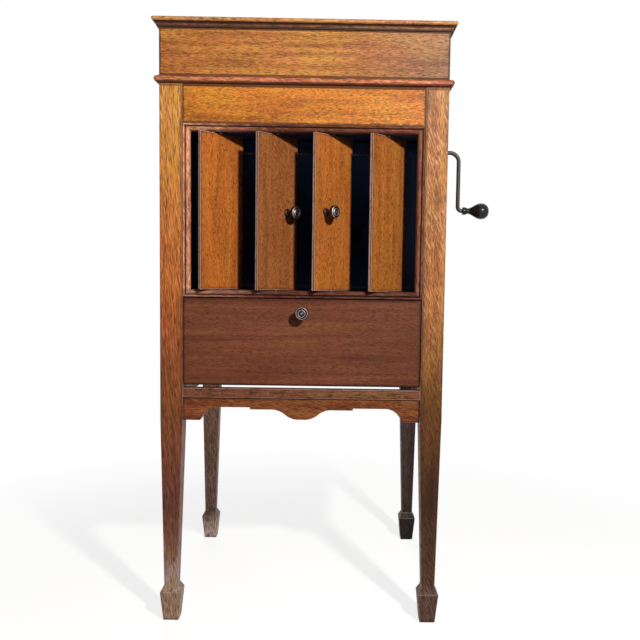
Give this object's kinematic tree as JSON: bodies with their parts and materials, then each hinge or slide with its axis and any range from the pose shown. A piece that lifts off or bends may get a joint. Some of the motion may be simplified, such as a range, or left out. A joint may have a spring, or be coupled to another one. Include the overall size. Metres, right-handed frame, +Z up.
{
  "type": "cabinet gramophone",
  "caption": "Floor-standing cabinet gramophone: side crank, lift-up lid over a sprung turntable, turning louvres before the horn, drop flap to a record shelf.",
  "frame": {"origin": "on the floor, midway between the four feet: the case's centre line, mid-depth", "axes": "+Z up, the front with louvres and flap faces -Y, +X to the viewer's right, where the crank is"},
  "size_m": [0.6158, 0.5109, 1.053],
  "materials": {
    "oak": "varnished golden oak",
    "oak_dark": "varnished dark red-brown oak",
    "louvre_oak": "varnished bright orange oak",
    "oak_inner": "thinly stained oak, unpolished",
    "horn_board": "dark stained thin board",
    "board_oak": "varnished oak",
    "black_wood": "ebonised turned wood",
    "brass": "lacquered, dulled",
    "bronze": "dark bronze, turned",
    "iron": "cast, black japanned",
    "black_iron": "black enamel",
    "steel": "turned steel",
    "nickel": "nickel plated",
    "felt": "green wool felt"
  },
  "bodies": {
    "cabinet": {"leg_front_left": "oak_dark", "leg_front_right": "oak_dark", "leg_rear_left": "oak_dark", "leg_rear_right": "oak_dark", "front_top_rail": "oak", "front_lower_rail": "oak_dark", "front_apron": "oak_dark", "case_rails": "oak", "side_panel_left": "oak", "side_panel_right": "oak", "back_panel": "oak_inner", "record_shelf": "oak_inner", "chamber_floor": "oak_inner", "louvre_frame": "oak_dark", "louvre_case": "oak_inner", "pivot_pins": "steel", "horn": "horn_board", "horn_elbow": "iron", "motor_board": "board_oak", "board_bearers": "oak_inner", "motor_frame": "iron", "tonearm_base": "nickel", "arm_rest": "nickel", "needle_cups": "nickel", "crank_escutcheon": "brass", "hinge_leaves_case": "brass", "case_screws": "brass"},
    "lid": {"lid_top_board": "oak", "lid_walls": "oak", "lid_cornice": "oak", "lid_bead": "oak_dark", "lid_stay": "brass", "hinge_leaves_lid": "brass", "lid_screws": "brass"},
    "flap": {"fall_flap": "oak_dark", "flap_knob": "bronze"},
    "louvre_1": {"louvre_1": "louvre_oak"},
    "louvre_2": {"louvre_2": "louvre_oak", "louvre_knob_left": "bronze"},
    "louvre_3": {"louvre_3": "louvre_oak", "louvre_knob_right": "bronze"},
    "louvre_4": {"louvre_4": "louvre_oak"},
    "tie_bar": {"louvre_tie_bar": "brass"},
    "crank": {"crank_rod": "black_iron", "winding_shaft": "steel"},
    "handle": {"crank_handle": "black_wood"},
    "winding_wheel": {"winding_wheel": "brass"},
    "turntable": {"spindle": "steel", "turntable": "nickel", "turntable_felt": "felt"},
    "second_arbor": {"second_arbor": "brass"},
    "barrel": {"spring_barrel": "brass", "mainspring": "steel"},
    "governor": {"governor": "brass"},
    "tonearm": {"tonearm": "nickel"},
    "sound_box": {"gooseneck": "nickel", "sound_box": "nickel", "needle": "steel"},
    "speed_lever": {"speed_lever": "nickel"},
    "brake_lever": {"brake_lever": "nickel"}
  },
  "joints": [
    {"name": "lid_hinge", "type": "hinge", "parent": "cabinet", "child": "lid", "pos_m": [0, 0.2432, 0.9448], "axis": [-1, 0, 0], "range_deg": [0, 61.5]},
    {"name": "flap_hinge", "type": "hinge", "parent": "cabinet", "child": "flap", "pos_m": [0, -0.2277, 0.4325], "axis": [1, 0, 0], "range_deg": [0, 90]},
    {"name": "louvre_1_turn", "type": "hinge", "parent": "cabinet", "child": "louvre_1", "pos_m": [-0.14544, -0.2148, 0.7307], "axis": [0, 0, 1], "range_deg": [-49.2, 40.6]},
    {"name": "louvre_2_turn", "type": "hinge", "parent": "cabinet", "child": "louvre_2", "pos_m": [-0.04782, -0.2148, 0.7307], "axis": [0, 0, 1], "range_deg": [-49.2, 40.6]},
    {"name": "louvre_3_turn", "type": "hinge", "parent": "cabinet", "child": "louvre_3", "pos_m": [0.04981, -0.2148, 0.7307], "axis": [0, 0, 1], "range_deg": [-49.2, 40.6]},
    {"name": "louvre_4_turn", "type": "hinge", "parent": "cabinet", "child": "louvre_4", "pos_m": [0.14744, -0.2148, 0.7307], "axis": [0, 0, 1], "range_deg": [-49.2, 40.6]},
    {"name": "tie_bar_pivot", "type": "hinge", "parent": "louvre_2", "child": "tie_bar", "pos_m": [-0.02027, -0.16988, 0.841], "axis": [0, 0, 1], "range_deg": [-40.6, 49.2]},
    {"name": "crank_turn", "type": "hinge", "parent": "cabinet", "child": "crank", "pos_m": [0.2, -0.035, 0.864], "axis": [1, 0, 0], "continuous": true},
    {"name": "handle_spin", "type": "hinge", "parent": "crank", "child": "handle", "pos_m": [0.33, -0.035, 0.751], "axis": [1, 0, 0], "continuous": true},
    {"name": "winding_wheel_turn", "type": "hinge", "parent": "cabinet", "child": "winding_wheel", "pos_m": [0.06, -0.035, 0.85], "axis": [0, 0, 1], "continuous": true},
    {"name": "turntable_spin", "type": "hinge", "parent": "cabinet", "child": "turntable", "pos_m": [-0.02, -0.035, 0.95], "axis": [0, 0, 1], "continuous": true},
    {"name": "second_arbor_spin", "type": "hinge", "parent": "cabinet", "child": "second_arbor", "pos_m": [0.01429, -0.02405, 0.9], "axis": [0, 0, 1], "continuous": true},
    {"name": "barrel_spin", "type": "hinge", "parent": "cabinet", "child": "barrel", "pos_m": [0.06, -0.035, 0.878], "axis": [0, 0, 1], "continuous": true},
    {"name": "governor_spin", "type": "hinge", "parent": "cabinet", "child": "governor", "pos_m": [-0.056, -0.035, 0.88], "axis": [0, 0, 1], "continuous": true},
    {"name": "tonearm_swing", "type": "hinge", "parent": "cabinet", "child": "tonearm", "pos_m": [0.095, 0.145, 0.99], "axis": [0, 0, 1], "range_deg": [-44, 0]},
    {"name": "sound_box_turn", "type": "hinge", "parent": "tonearm", "child": "sound_box", "pos_m": [0.15494, -0.00335, 0.99], "axis": [0.3746, -0.9272, 0], "range_deg": [0, 180]},
    {"name": "speed_lever_turn", "type": "hinge", "parent": "cabinet", "child": "speed_lever", "pos_m": [-0.165, -0.175, 0.925], "axis": [0, 0, 1], "range_deg": [-20, 20]},
    {"name": "brake_lever_turn", "type": "hinge", "parent": "cabinet", "child": "brake_lever", "pos_m": [-0.196, 0.006, 0.925], "axis": [0, 0, 1], "range_deg": [0, 12]}
  ],
  "couplings": [
    {"joint": "louvre_1_turn", "follows": "louvre_2_turn", "ratio": 1},
    {"joint": "louvre_3_turn", "follows": "louvre_2_turn", "ratio": 1},
    {"joint": "louvre_4_turn", "follows": "louvre_2_turn", "ratio": 1},
    {"joint": "tie_bar_pivot", "follows": "louvre_2_turn", "ratio": -1},
    {"joint": "winding_wheel_turn", "follows": "crank_turn", "ratio": 0.23077},
    {"joint": "second_arbor_spin", "follows": "turntable_spin", "ratio": -0.33333},
    {"joint": "barrel_spin", "follows": "turntable_spin", "ratio": 0.039683},
    {"joint": "governor_spin", "follows": "turntable_spin", "ratio": -8}
  ]
}
